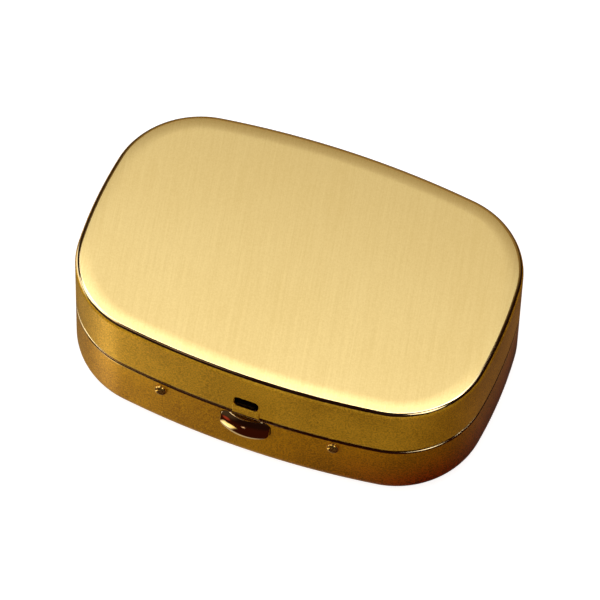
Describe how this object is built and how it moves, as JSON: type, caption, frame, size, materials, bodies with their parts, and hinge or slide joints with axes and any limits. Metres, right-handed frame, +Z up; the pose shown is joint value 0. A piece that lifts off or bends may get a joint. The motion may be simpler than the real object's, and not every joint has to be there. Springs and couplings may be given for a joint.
{
  "type": "pill box",
  "caption": "Pocket pill box of gilt brass with bowed sides, a hinged lid, a push-button catch, a divided tray inside and a mirror in the lid.",
  "frame": {"origin": "centre of the flat underside", "axes": "+Z up, X along the long sides, -Y towards the catch, +Y towards the hinge"},
  "size_m": [0.05, 0.036, 0.017],
  "materials": {
    "gilt_brass": "satin brushed",
    "polished_gilt": "polished",
    "ivory_plastic": "gloss",
    "spring_steel": "plain",
    "mirror_glass": "silvered glass, bevelled",
    "mounting_pad": "foam tape"
  },
  "bodies": {
    "base": {"base_shell": "gilt_brass", "left_rim_collar": "polished_gilt", "right_rim_collar": "polished_gilt", "pill_tray": "ivory_plastic", "base_hinge_leaf": "polished_gilt", "hinge_pin": "polished_gilt", "lid_spring": "spring_steel", "catch_spring": "spring_steel", "catch_rivets": "polished_gilt"},
    "lid": {"lid_shell": "gilt_brass", "lid_hinge_leaf": "polished_gilt", "lid_mirror": "mirror_glass", "mirror_pad": "mounting_pad"},
    "catch": {"catch_button": "polished_gilt", "catch_plate": "spring_steel"}
  },
  "joints": [
    {"name": "lid_hinge", "type": "hinge", "parent": "base", "child": "lid", "pos_m": [0, 0.017, 0.0092], "axis": [-1, 0, 0], "range_deg": [0, 105], "deforming": ["lid_spring"]},
    {"name": "catch_press", "type": "slide", "parent": "base", "child": "catch", "axis": [0, 1, 0], "range_m": [0, 0.0009], "stiffness_N_per_m": 100, "deforming": ["catch_spring"]}
  ]
}
